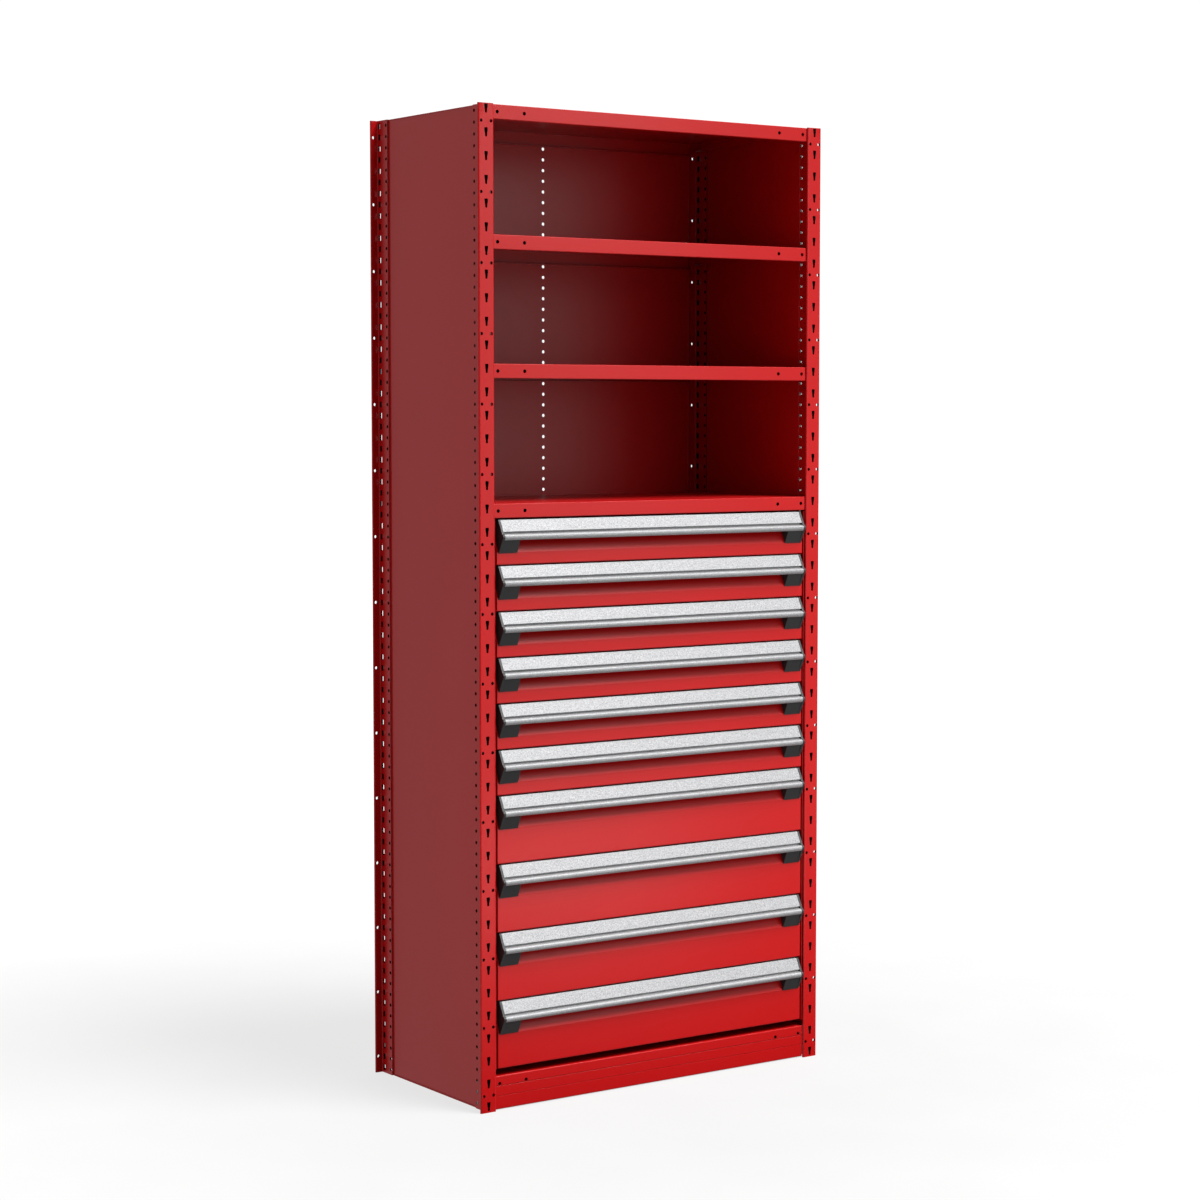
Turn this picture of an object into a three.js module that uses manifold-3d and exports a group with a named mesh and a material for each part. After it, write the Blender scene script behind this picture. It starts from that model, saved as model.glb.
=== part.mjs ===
// Industrial shelving unit with ten drawers.
//
// Four hollow T-section posts carry four shelves above a stack of drawers, a bottom shelf and a
// kick plate. Each drawer runs on a pair of full-extension slides: a channel fixed to the drawer
// housing, a loose intermediate member, and a rail on the side of the drawer.
//
// Millimetres, +Z up. While the parts are made, x = 0 is the middle of the unit, y = 0 is the
// front face of the front posts (y grows towards the back) and z = 0 is the floor.

import * as THREE from 'three';
import { mergeVertices } from 'three/addons/utils/BufferGeometryUtils.js';
import Module from 'manifold-3d';

const wasm = await Module();
wasm.setup();

// ---------------------------------------------------------------- driving dimensions

const INCH = 25.4;
const HEIGHT = 87 * INCH;          // top of the posts
const POST_SPACING = 36 * INCH;    // middle to middle, along x
const DEPTH = 464.4;               // front face of the front posts to back face of the back posts
const SHEET = 1.5;                 // thickness of the formed steel sheet
const GAP = 0.3;                   // clearance between pieces that touch
const OVERCUT = 1;                 // how far a cutting block runs past the face it opens

// Post: a flat hollow flange at the outside, with a narrow hollow web standing on its middle.
const post = { halfWidth: 20, flangeDepth: 6, webHalf: 2.5, webEnd: 50.4, cornerRadius: 3 };

// Shelves.
const FRONT_RECESS = 4.6;          // shelf and drawer fronts stand this far behind the post faces
const shelf = {
  flangeHalf: 436.5, backHalf: 434.3, plateHalf: 453, height: 31.5, lip: 12, notch: 8, backClear: 2.2,
};
const PANEL_MARGIN = 1;            // panels and the top shelf end this far inside the post ends
const TOP_SHELF_Z = HEIGHT - PANEL_MARGIN;
const SHELF_DROPS = [0, 11 * INCH, 22 * INCH, 34 * INCH];
const BOTTOM_SHELF_Z = 77;
const BOTTOM_SHELF_HEIGHT = 22.3;
const SIDE_PANEL_EDGE = 4;         // depth of the turned edges
const BACK_PANEL_EDGE = 10;
const kick = { floorClear: 2, turnBack: 18 };

// Drawers, from the top down.
const DRAWER_PITCHES = [4, 4, 4, 4, 4, 4, 6, 6, 6, 6].map((n) => n * INCH);
const STACK_TOP = 1311.1;
const DRAWER_GAP = 3;              // between one drawer front and the next
const front = { half: 425.8, pan: 22, bendDrop: 72, wallDrop: 32, topDrop: 2.8 };
const tray = { half: 412, back: 440, wallDrop: 14, floorRise: 10 };
const label = { half: 419.2, topY: 6, bottomY: -7, drop: 25.6, back: 20, thickness: 2.6 };
const nose = { radius: 6.8, y: -8.1, drop: 37.5 };
const groove = { depth: 1.8, fall: 0.8, lift: 1, rise: 0.8 };
const inner = { wall: 4, wallTop: 2, seat: 2 };
const cap = { outer: 425, inner: 376.5, toe: 73.4, proud: 0.4, clear: 0.8, inset: 0.4 };

// Housing walls and slides. Heights are half heights about the middle of the slide.
const WALL_INNER = 434;
const WALL_BACK = DEPTH - 14;
const hook = { near: 22, width: 16, height: 20, margin: 60 };
const RAIL_RISE = 38;              // middle of the slide above the bottom of the drawer front
const slide = {
  start: 25,
  fixed: { tip: 420, back: WALL_INNER + SHEET, half: 15.5, end: 445 },
  middle: { tip: 418, back: 432, half: 12.5, end: 425 },
  rail: { tip: tray.half - 1, back: 429, half: 9.5, end: 436 },
};

const stackHeight = DRAWER_PITCHES.reduce((sum, pitch) => sum + pitch, 0);
const STACK_BOTTOM = STACK_TOP - stackHeight;
const FRONT_REACH = nose.y - nose.radius - cap.proud;   // y of the foremost point, a handle's cap

// ---------------------------------------------------------------- materials

const paint = new THREE.MeshStandardMaterial({ color: 0xc8282b, roughness: 0.45, metalness: 0.1 });
const aluminium = new THREE.MeshStandardMaterial({ color: 0xd2d3d6, roughness: 0.4, metalness: 0.9 });
const zinc = new THREE.MeshStandardMaterial({ color: 0xa9adb1, roughness: 0.35, metalness: 0.9 });

// ---------------------------------------------------------------- shape helpers

// Turns a closed three.js geometry into a manifold-3d solid.
function toSolid(geometry) {
  const bare = geometry.clone();
  bare.deleteAttribute('normal');
  bare.deleteAttribute('uv');
  const merged = mergeVertices(bare, 1e-4);
  return new wasm.Manifold(new wasm.Mesh({
    numProp: 3,
    vertProperties: new Float32Array(merged.attributes.position.array),
    triVerts: new Uint32Array(merged.index.array),
  }));
}

// Turns a solid back into a geometry with flat shaded faces.
function toGeometry(solid) {
  const mesh = solid.getMesh();
  const shared = new THREE.BufferGeometry();
  shared.setAttribute('position', new THREE.BufferAttribute(new Float32Array(mesh.vertProperties), 3));
  shared.setIndex(new THREE.BufferAttribute(new Uint32Array(mesh.triVerts), 1));
  const flat = shared.toNonIndexed();
  flat.computeVertexNormals();
  return flat;
}

function join(solids) {
  return solids.reduce((sum, solid) => sum.add(solid));
}

function cut(solid, tools) {
  return solid.subtract(join(tools));
}

// A block between two corners.
function block([x0, y0, z0], [x1, y1, z1]) {
  const geometry = new THREE.BoxGeometry(x1 - x0, y1 - y0, z1 - z0);
  geometry.translate((x0 + x1) / 2, (y0 + y1) / 2, (z0 + z1) / 2);
  return toSolid(geometry);
}

function extrusion(shape, length, xAxis, yAxis, zAxis, start) {
  const geometry = new THREE.ExtrudeGeometry(shape, { depth: length, bevelEnabled: false, curveSegments: 4 });
  geometry.applyMatrix4(new THREE.Matrix4().makeBasis(xAxis, yAxis, zAxis).setPosition(start));
  return toSolid(geometry);
}

const X = new THREE.Vector3(1, 0, 0);
const Y = new THREE.Vector3(0, 1, 0);
const Z = new THREE.Vector3(0, 0, 1);

// Extrudes a shape drawn in x, y upwards.
function extrudeUp(shape, z0, z1) {
  return extrusion(shape, z1 - z0, X, Y, Z, new THREE.Vector3(0, 0, z0));
}

// Extrudes a shape drawn in y, z from left to right.
function extrudeAcross(shape, x0, x1) {
  return extrusion(shape, x1 - x0, Y, Z, X, new THREE.Vector3(x0, 0, 0));
}

// Extrudes a shape drawn in x, z from front to back.
function extrudeBack(shape, y0, y1) {
  return extrusion(shape, y1 - y0, X, Z, Y.clone().negate(), new THREE.Vector3(0, y1, 0));
}

function polygon(points) {
  return new THREE.Shape(points.map(([a, b]) => new THREE.Vector2(a, b)));
}

// The closed outline of a bent sheet: its face as a line of points, thickened to the left of
// the direction of travel.
function sheetOutline(points, thickness) {
  const line = points.map(([a, b]) => new THREE.Vector2(a, b));
  const normals = line.slice(1).map((p, i) => {
    const along = p.clone().sub(line[i]).normalize();
    return new THREE.Vector2(-along.y, along.x);
  });
  const inside = line.map((p, i) => {
    const before = normals[Math.max(i - 1, 0)];
    const after = normals[Math.min(i, normals.length - 1)];
    const mitre = before.clone().add(after).normalize();
    return p.clone().addScaledVector(mitre, thickness / mitre.dot(after));
  });
  return new THREE.Shape([...line, ...inside.reverse()]);
}

function mirrored(solid) {
  return solid.mirror([1, 0, 0]);
}

// ---------------------------------------------------------------- posts

// Adds the closed T outline of a post, `inset` inside its outer face, to a shape or a path.
function postOutline(path, inset) {
  const half = post.halfWidth - inset;
  const radius = post.cornerRadius - inset;
  const web = post.webHalf - inset;
  const back = post.flangeDepth - inset;
  path.moveTo(-half, back);
  path.lineTo(-half, inset + radius);
  path.absarc(-half + radius, inset + radius, radius, Math.PI, Math.PI * 1.5, false);
  path.absarc(half - radius, inset + radius, radius, Math.PI * 1.5, Math.PI * 2, false);
  path.lineTo(half, back);
  path.lineTo(web, back);
  path.lineTo(web, post.webEnd - inset);
  path.lineTo(-web, post.webEnd - inset);
  path.lineTo(-web, back);
  path.closePath();
  return path;
}

function makePost(side, isBack) {
  const shape = postOutline(new THREE.Shape(), 0);
  shape.holes.push(postOutline(new THREE.Path(), SHEET));
  const upright = extrudeUp(shape, 0, HEIGHT);
  const turned = isBack ? upright.mirror([0, 1, 0]).translate([0, DEPTH, 0]) : upright;
  return turned.translate([side * POST_SPACING / 2, 0, 0]);
}

// ---------------------------------------------------------------- panels and shelves

// A pan between the ends of two webs, flush with their inner faces, its edges turned outwards.
function makeSidePanel(side) {
  const face = POST_SPACING / 2 - post.webHalf;
  const outer = face + SIDE_PANEL_EDGE;
  const y0 = post.webEnd + GAP;
  const y1 = DEPTH - post.webEnd - GAP;
  const z0 = PANEL_MARGIN;
  const z1 = HEIGHT - PANEL_MARGIN;
  const pan = cut(block([face, y0, z0], [outer, y1, z1]), [
    block([face + SHEET, y0 + SHEET, z0 + SHEET], [outer + OVERCUT, y1 - SHEET, z1 - SHEET]),
  ]);
  return side > 0 ? pan : mirrored(pan);
}

// A flat sheet between the flanges of the back posts, with its side edges turned forward.
function makeBackPanel() {
  const half = POST_SPACING / 2 - post.halfWidth - PANEL_MARGIN;
  const near = DEPTH - BACK_PANEL_EDGE;
  const far = DEPTH - GAP;
  const outline = sheetOutline([[half, near], [half, far], [-half, far], [-half, near]], SHEET);
  return extrudeUp(outline, BOTTOM_SHELF_Z + PANEL_MARGIN, HEIGHT - PANEL_MARGIN);
}

// A tray upside down. Its front flange passes between the post flanges and its back flange between
// the edges of the back panel, so its corners are notched. Both flanges end in a lip turned inwards.
function makeShelf(topZ, height) {
  const y0 = FRONT_RECESS;
  const y1 = DEPTH - shelf.backClear;
  const z0 = topZ - height;
  const half = shelf.plateHalf;
  const body = block([-half, y0, z0], [half, y1, topZ]);
  const hollow = block([-half + SHEET, y0 + SHEET, z0 + SHEET], [half - SHEET, y1 - SHEET, topZ - SHEET]);
  const mouth = block(
    [-half + SHEET, y0 + shelf.lip, z0 - OVERCUT],
    [half - SHEET, y1 - shelf.lip, z0 + 2 * SHEET],
  );
  const frontNotch = block(
    [shelf.flangeHalf, y0 - OVERCUT, z0 - OVERCUT],
    [half + OVERCUT, y0 + shelf.notch, topZ + OVERCUT],
  );
  const backNotch = block(
    [shelf.backHalf, DEPTH - BACK_PANEL_EDGE - GAP, z0 - OVERCUT],
    [half + OVERCUT, y1 + OVERCUT, topZ + OVERCUT],
  );
  return cut(body, [hollow, mouth, frontNotch, mirrored(frontNotch), backNotch, mirrored(backNotch)]);
}

// The kick plate closes the front below the bottom shelf; its long edges are turned back.
function makeKickPlate() {
  const z0 = kick.floorClear;
  const z1 = BOTTOM_SHELF_Z - BOTTOM_SHELF_HEIGHT - GAP;
  const y0 = FRONT_RECESS;
  const y1 = y0 + kick.turnBack;
  const outline = sheetOutline([[y1, z1], [y0, z1], [y0, z0], [y1, z0]], SHEET);
  return extrudeAcross(outline, -shelf.flangeHalf, shelf.flangeHalf);
}

// ---------------------------------------------------------------- drawer housing and slides

// A channel drawn in x, z, open towards the drawer.
function channelShape(part, middleZ) {
  const inner = part.half - SHEET;
  return polygon([
    [part.tip, middleZ + part.half],
    [part.tip, middleZ + inner],
    [part.back - SHEET, middleZ + inner],
    [part.back - SHEET, middleZ - inner],
    [part.tip, middleZ - inner],
    [part.tip, middleZ - part.half],
    [part.back, middleZ - part.half],
    [part.back, middleZ + part.half],
  ]);
}

// One wall of the housing: a sheet with a fixed slide channel for each drawer, and hooks that
// reach to the webs of the posts.
function makeHousing(side, drawers) {
  const outer = WALL_INNER + SHEET;
  const reach = POST_SPACING / 2 - post.webHalf - GAP;
  const pieces = [
    block([WALL_INNER, FRONT_RECESS, STACK_BOTTOM], [outer, WALL_BACK, STACK_TOP]),
    ...drawers.map(({ railZ }) => extrudeBack(channelShape(slide.fixed, railZ), slide.start, slide.fixed.end)),
  ];
  for (const z of [STACK_BOTTOM + hook.margin, (STACK_BOTTOM + STACK_TOP) / 2, STACK_TOP - hook.margin]) {
    for (const y of [hook.near, DEPTH - hook.near - hook.width]) {
      pieces.push(block([WALL_INNER, y, z], [reach, y + hook.width, z + hook.height]));
    }
  }
  const wall = join(pieces);
  return side > 0 ? wall : mirrored(wall);
}

function makeSlide(side, { railZ }) {
  const member = extrudeBack(channelShape(slide.middle, railZ), slide.start, slide.middle.end);
  return side > 0 ? member : mirrored(member);
}

// ---------------------------------------------------------------- drawers

// The front is a sheet that rises from its bottom return, leans back to make the finger recess
// behind the handle, and rises again as the front wall of the tray.
function makeDrawerBox({ top, height, bottom, railZ }) {
  const bend = top - front.bendDrop;
  const wallStart = top - front.wallDrop;
  const face = sheetOutline([
    [front.pan, top - front.topDrop],
    [front.pan, wallStart],
    [FRONT_RECESS, bend],
    [FRONT_RECESS, bottom],
    [front.pan, bottom],
  ], SHEET);
  const inset = SHEET / 2;
  const end = polygon([
    [FRONT_RECESS + inset, bottom + inset],
    [front.pan + inset, bottom + inset],
    [front.pan + inset, wallStart],
    [FRONT_RECESS + inset, bend],
  ]);
  const trayBottom = bottom + tray.floorRise;
  const trayTop = top - tray.wallDrop;
  const trayFront = front.pan + inset;
  const outside = block([-tray.half, trayFront, trayBottom], [tray.half, tray.back, trayTop]);
  const inside = block(
    [-tray.half + SHEET, trayFront + SHEET, trayBottom + SHEET],
    [tray.half - SHEET, tray.back - SHEET, trayTop + height],
  );
  const rail = extrudeBack(channelShape(slide.rail, railZ), slide.start, slide.rail.end);
  return join([
    extrudeAcross(face, -front.half, front.half),
    extrudeAcross(end, -front.half, -front.half + SHEET),
    extrudeAcross(end, front.half - SHEET, front.half),
    cut(outside, [inside]),
    rail,
    mirrored(rail),
  ]);
}

// The handle is an extrusion with a leaning label face, a groove and a round nose. A moulded cap
// closes each end and fills the end of the finger recess below the nose.
function makeHandle({ top }) {
  const drop = (y, down) => [y, top - down];
  const section = new THREE.Shape();
  section.moveTo(...drop(label.back, 0));
  section.lineTo(...drop(label.topY, 0));
  section.lineTo(...drop(label.bottomY, label.drop));
  section.lineTo(...drop(label.bottomY + groove.depth, label.drop + groove.fall));
  section.lineTo(...drop(label.bottomY + groove.rise, nose.drop - nose.radius - groove.lift));
  section.absarc(nose.y, top - nose.drop, nose.radius, Math.PI * 0.5, Math.PI * 1.5, false);
  section.lineTo(...drop(nose.y + inner.wall, nose.drop + nose.radius));
  section.lineTo(...drop(nose.y + inner.wall, label.drop + inner.wallTop));
  section.lineTo(...drop(label.topY + inner.seat, label.thickness));
  section.lineTo(...drop(label.back, label.thickness));

  const lean = (front.pan - FRONT_RECESS) / (front.bendDrop - front.wallDrop);
  const recessY = (down) => front.pan - cap.clear - lean * (down - front.wallDrop);
  const back = label.back + cap.proud;
  const plate = new THREE.Shape();
  plate.moveTo(...drop(back, -cap.proud));
  plate.lineTo(...drop(label.topY - cap.proud, -cap.proud));
  plate.lineTo(...drop(label.bottomY - cap.proud, label.drop));
  plate.absarc(nose.y, top - nose.drop, nose.radius + cap.proud, Math.PI * 0.6, Math.PI * 1.35, false);
  plate.lineTo(...drop(recessY(front.bendDrop), cap.toe));
  plate.lineTo(...drop(recessY(front.bendDrop), front.bendDrop));
  plate.lineTo(...drop(back, front.wallDrop + (front.pan - cap.clear - back) / lean));

  const footTop = nose.drop + nose.radius - 2 * cap.inset;
  const foot = polygon([
    drop(nose.y - 1, footTop),
    drop(recessY(front.bendDrop) - cap.inset, cap.toe - cap.inset),
    drop(recessY(front.bendDrop) - cap.inset, front.bendDrop),
    drop(recessY(footTop) - cap.inset, footTop),
  ]);
  const right = join([
    extrudeAcross(plate, label.half - 1, cap.outer),
    extrudeAcross(foot, cap.inner, label.half),
  ]);
  return join([extrudeAcross(section, -label.half, label.half), right, mirrored(right)]);
}

// ---------------------------------------------------------------- assembly

const unit = new THREE.Group();

function addPart(name, solid, material) {
  const mesh = new THREE.Mesh(toGeometry(solid), material);
  mesh.name = name;
  unit.add(mesh);
}

const drawers = [];
let slotTop = STACK_TOP;
for (const pitch of DRAWER_PITCHES) {
  const top = slotTop - DRAWER_GAP / 2;
  const bottom = slotTop - pitch + DRAWER_GAP / 2;
  drawers.push({ top, bottom, height: top - bottom, railZ: bottom + RAIL_RISE });
  slotTop -= pitch;
}

for (const [sideName, side] of [['left', -1], ['right', 1]]) {
  addPart(`post_front_${sideName}`, makePost(side, false), paint);
  addPart(`post_back_${sideName}`, makePost(side, true), paint);
  addPart(`side_panel_${sideName}`, makeSidePanel(side), paint);
  addPart(`housing_${sideName}`, makeHousing(side, drawers), paint);
}
addPart('back_panel', makeBackPanel(), paint);
SHELF_DROPS.forEach((drop, i) => {
  addPart(`shelf_${i + 1}`, makeShelf(TOP_SHELF_Z - drop, shelf.height), paint);
});
addPart('shelf_bottom', makeShelf(BOTTOM_SHELF_Z, BOTTOM_SHELF_HEIGHT), paint);
addPart('kick_plate', makeKickPlate(), paint);

drawers.forEach((drawer, i) => {
  const number = String(i + 1).padStart(2, '0');
  addPart(`drawer_${number}_box`, makeDrawerBox(drawer), paint);
  addPart(`drawer_${number}_handle`, makeHandle(drawer), aluminium);
  addPart(`drawer_${number}_slide_left`, makeSlide(-1, drawer), zinc);
  addPart(`drawer_${number}_slide_right`, makeSlide(1, drawer), zinc);
});

// The finished part has its origin in the middle of its footprint.
unit.position.y = -(FRONT_REACH + DEPTH) / 2;

export default unit;
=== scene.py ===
"""Looks of a tall steel shelving unit with ten drawers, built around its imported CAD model.

Lengths are in millimetres until a piece is made. x = 0 is the middle of the unit, y = 0 the front
face of its front posts and z = 0 the floor. Every piece is sheet metal folded from a path, an
extrusion or a moulding, and stands where the CAD node that it replaces stands.
"""

import math

import bpy
from mathutils import Matrix, Vector
from mathutils.geometry import delaunay_2d_cdt


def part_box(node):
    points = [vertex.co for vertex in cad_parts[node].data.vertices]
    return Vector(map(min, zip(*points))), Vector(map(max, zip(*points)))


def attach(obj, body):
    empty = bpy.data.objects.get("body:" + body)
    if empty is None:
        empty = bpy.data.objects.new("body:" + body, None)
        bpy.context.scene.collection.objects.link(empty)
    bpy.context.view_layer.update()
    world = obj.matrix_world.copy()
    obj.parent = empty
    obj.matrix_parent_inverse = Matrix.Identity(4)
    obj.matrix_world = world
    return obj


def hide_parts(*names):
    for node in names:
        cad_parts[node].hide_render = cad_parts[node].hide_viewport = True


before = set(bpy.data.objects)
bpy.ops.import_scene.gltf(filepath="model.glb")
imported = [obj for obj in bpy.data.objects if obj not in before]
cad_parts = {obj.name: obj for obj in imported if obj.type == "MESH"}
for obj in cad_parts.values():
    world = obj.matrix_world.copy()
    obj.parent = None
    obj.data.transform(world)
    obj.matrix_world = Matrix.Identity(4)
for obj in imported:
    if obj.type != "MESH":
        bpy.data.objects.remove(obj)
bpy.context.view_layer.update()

MM = 0.001


# ---------------------------------------------------------------- sizes

FRONT_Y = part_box("post_front_right")[0].y


def extent(node):
    """The lowest and highest corners of a CAD node in this script's own millimetres."""
    low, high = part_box(node)
    origin = Vector((0, FRONT_Y, 0))
    return (low - origin) / MM, (high - origin) / MM


INCH = 25.4
post_low, post_high = extent("post_front_right")
HEIGHT = post_high.z
DEPTH = extent("post_back_right")[1].y
POST_X = (post_low.x + post_high.x) / 2
POST_HALF = (post_high.x - post_low.x) / 2
WEB_END = post_high.y
SHEET = 1.5
THIN_SHEET = 1.2
CLEAR = 0.3

# A post is a flat box, the flange, with a narrow double web behind it. The web of a post with
# windows is thinner on the window's side.
POST_SHEET = 0.9
FLANGE_DEPTH = 6
FLANGE_BEND = 3
FLANGE_BACK_BEND = 2.6
WEB_HALF = 2.5
WEB_HALF_AT_WINDOW = 0.9
WEB_FILLET = 2.6

# Slots and holes of the posts: across from the middle of the flange, back from its face, and down
# from the top of the post.
KEYHOLE = {
    "top": 4.3, "bottom": 2.7, "high": 10.2, "low": 9.6, "neck": 3.5, "shoulder": 5,
    "corners": [2.2, 2.2, 1, 1, 0.8, 0.8, 1, 1], "first": 11.9, "pitch": 2 * INCH,
}
PAIR_HOLE = {"offset": 12.6, "radius": 3.7, "far_radius": 4.6, "first": 38.1, "pitch": 6 * INCH}
WEB_SLOT = {"y": 15.5, "half_width": 4.2, "half_height": 6.6, "first": 12.7, "pitch": INCH}
BACK_WINDOW = {"near": 5.8, "far": 8.6, "half_width": 1.9, "corner": 1}
WEB_HOLE = {"y": 44.4, "radius": 3.9}
STRIP = {"inset": 1, "edge": 0.3}

SIDE_PANEL = {"turn": 4, "bend": 2.4}
BACK_PANEL_BEND = 3
BACK_HOLE = {"radius": 3.9, "first": 38.1, "pitch": INCH, "margin": 10}
SHELF_HOLE = {"radius": 4.2, "outer": 425.3, "inner": 355.4, "drop": 15.9, "bottom_drop": 17.3}
SHELF = {"half": 436.5, "back_half": 434.3, "bend": 1.6, "lip": 12, "notch": 8, "back_notch": 8.1,
         "side_drop": 18, "sheet": 1}
SHADE_CHANNEL = {"clear": 0.1, "short": 0.2, "bend": 2, "end": 2}
CLIP = {"near": 13, "length": 20, "thickness": 1.1, "ledge": 9, "leg": 17, "gap": 0.2, "edge": 0.3,
        "bend": 0.6}
KICK = {"crease": 32.4, "crease_half": 0.7, "crease_depth": 1.8, "crease_bend": 0.2, "bend": 3,
        "top_bend": 0.5, "end_clear": 0.2, "end_bend": 1}

# Drawers: y back from the front of the posts, drops down from the top of the handle's label face.
FRONT_RECESS = 4.6
FRONT = {"pan": 22, "bend_drop": 72, "wall_drop": 32, "top_drop": 2.8, "bend": 7, "wall_bend": 4,
         "edge_bend": 2.6}
FRONT_END = {"inset": 1.6, "drop": 2, "edge": 0.2}
TRAY = {"wall_drop": 14, "floor_rise": 10, "bend": 3, "hem": 4, "hem_fall": 8, "hem_bend": 1.7,
        "half": 412, "back": 440}
TRAY_SLOT = {"pitch": 2 * INCH, "half_width": 1.6, "corner": 1.4, "top": 14, "bottom": 12, "end": 30}
LABEL = {"half": 419.2, "top_y": 6, "bottom_y": -7, "drop": 25.6, "back": 20, "thickness": 2.6}
GROOVE = {"y": -3, "top": 26.2, "bottom": 30}
NOSE = {"radius": 6.8, "y": -8.1, "drop": 37.5, "wall_y": -1, "wall_drop": 27.6}
HANDLE_BENDS = {"back": 0.5, "top": 0.9, "groove": 0.4, "groove_end": 0.3, "inner_edge": 0.3, "inner": 1}
CAP = {"outer": 425, "inner": 376.5, "toe": 73.4, "proud": 0.4, "nose_proud": 0.38, "clear": 0.8,
       "gap": 0.05, "bevel": 0.5}
CAP_FOOT = {"inset": 0.4, "clear": 0.1, "nose_reach": 1}

# Housing and slides: x of a channel's tips and back, half its height, and y of its end.
WALL_INNER = 434
HOUSING = {"back_gap": 14, "edge": 0.3}
HOOK = {"near": 22, "width": 16, "height": 20, "margin": 60, "bend": 1}
SLIDE_START = 25
SLIDE_BEND = 2.2
FIXED = {"tip": 420, "back": WALL_INNER - 0.1, "half": 15.5, "end": 445}
MIDDLE = {"tip": 418, "back": 432, "half": 12.5, "end": 425}
RAIL = {"tip": 412.4, "back": 429, "half": 9.5, "end": 436}

DRAWERS = [f"drawer_{number:02d}" for number in range(1, 11)]
SHELVES = ("1", "2", "3", "4", "bottom")
CARCASS = "carcass"


# ---------------------------------------------------------------- materials

class Nodes:
    """A material's node tree, with one call for each node."""

    def __init__(self, name, constants=None):
        self.material = bpy.data.materials.new(name)
        self.material.use_nodes = True
        self.tree = self.material.node_tree
        self.shader = self.tree.nodes["Principled BSDF"]
        self.place = self.add("ShaderNodeTexCoord").outputs["Object"]
        for socket, value in (constants or {}).items():
            self.shader.inputs[socket].default_value = value

    def add(self, kind, **settings):
        node = self.tree.nodes.new(kind)
        for key, value in settings.items():
            setattr(node, key, value)
        return node

    def link(self, output, socket):
        self.tree.links.new(output, socket)

    def noise(self, scale, detail=2, roughness=0.5, stretch=(1, 1, 1)):
        """Noise in lumps of about 1 / scale metres, longer along an axis whose stretch is small."""
        mapping = self.add("ShaderNodeMapping")
        mapping.inputs["Scale"].default_value = stretch
        self.link(self.place, mapping.inputs["Vector"])
        noise = self.add("ShaderNodeTexNoise")
        noise.inputs["Scale"].default_value = scale
        noise.inputs["Detail"].default_value = detail
        noise.inputs["Roughness"].default_value = roughness
        self.link(mapping.outputs["Vector"], noise.inputs["Vector"])
        return noise.outputs["Fac"]

    def spread(self, value, low, high, start=0.3, end=0.7):
        """Maps a value from start..end to low..high."""
        node = self.add("ShaderNodeMapRange")
        for socket, number in (("From Min", start), ("From Max", end), ("To Min", low), ("To Max", high)):
            node.inputs[socket].default_value = number
        self.link(value, node.inputs["Value"])
        return node.outputs["Result"]

    def blend(self, factor, first, second):
        """A colour between two, each a colour or another node's output."""
        node = self.add("ShaderNodeMix", data_type="RGBA")
        self.link(factor, node.inputs["Factor"])
        for socket, colour in ((node.inputs[6], first), (node.inputs[7], second)):
            if isinstance(colour, tuple):
                socket.default_value = (*colour, 1)
            else:
                self.link(colour, socket)
        return node.outputs[2]

    def colour(self, output):
        self.link(output, self.shader.inputs["Base Color"])

    def roughness(self, output):
        self.link(output, self.shader.inputs["Roughness"])

    def bump(self, *heights):
        """Bumps laid on each other; each is a height and its depth in metres."""
        last = None
        for height, depth in heights:
            node = self.add("ShaderNodeBump")
            node.inputs["Strength"].default_value = 1
            node.inputs["Distance"].default_value = depth
            self.link(height, node.inputs["Height"])
            if last:
                self.link(last, node.inputs["Normal"])
            last = node.outputs["Normal"]
        self.link(last, self.shader.inputs["Normal"])


def make_paint():
    """Red powder coat: an even colour with a fine orange-peel skin."""
    nodes = Nodes("red_paint", {"IOR": 1.4})
    broad = nodes.spread(nodes.noise(5, detail=3), 0, 1)
    fine = nodes.spread(nodes.noise(700, detail=2), 0, 1)
    tint = nodes.blend(broad, (0.385, 0.0024, 0.0030), (0.41, 0.0028, 0.0034))
    nodes.colour(nodes.blend(fine, tint, (0.43, 0.0038, 0.0044)))
    nodes.roughness(nodes.spread(nodes.noise(90, detail=3), 0.28, 0.33))
    nodes.bump((nodes.noise(420, detail=2), 0.000012), (nodes.noise(1500, detail=1), 0.000004))
    return nodes.material


def make_aluminium():
    """Blasted and anodised aluminium: bright, with a fine sparkle and no direction."""
    nodes = Nodes("satin_aluminium", {"Metallic": 0.3})
    grain = nodes.spread(nodes.noise(360, detail=4, roughness=0.85), 0, 1, 0.36, 0.64)
    nodes.colour(nodes.blend(grain, (0.15, 0.152, 0.157), (0.39, 0.392, 0.398)))
    nodes.roughness(nodes.spread(nodes.noise(500, detail=2), 0.42, 0.54))
    nodes.bump((nodes.noise(800, detail=2), 0.00008))
    return nodes.material


def make_plastic():
    """Black moulded plastic with a spark-eroded texture."""
    nodes = Nodes("black_plastic")
    grain = nodes.spread(nodes.noise(900, detail=2), 0, 1)
    nodes.colour(nodes.blend(grain, (0.012, 0.012, 0.013), (0.022, 0.022, 0.023)))
    nodes.roughness(nodes.spread(nodes.noise(400, detail=2), 0.42, 0.56))
    nodes.bump((nodes.noise(1300, detail=2), 0.00006))
    return nodes.material


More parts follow.
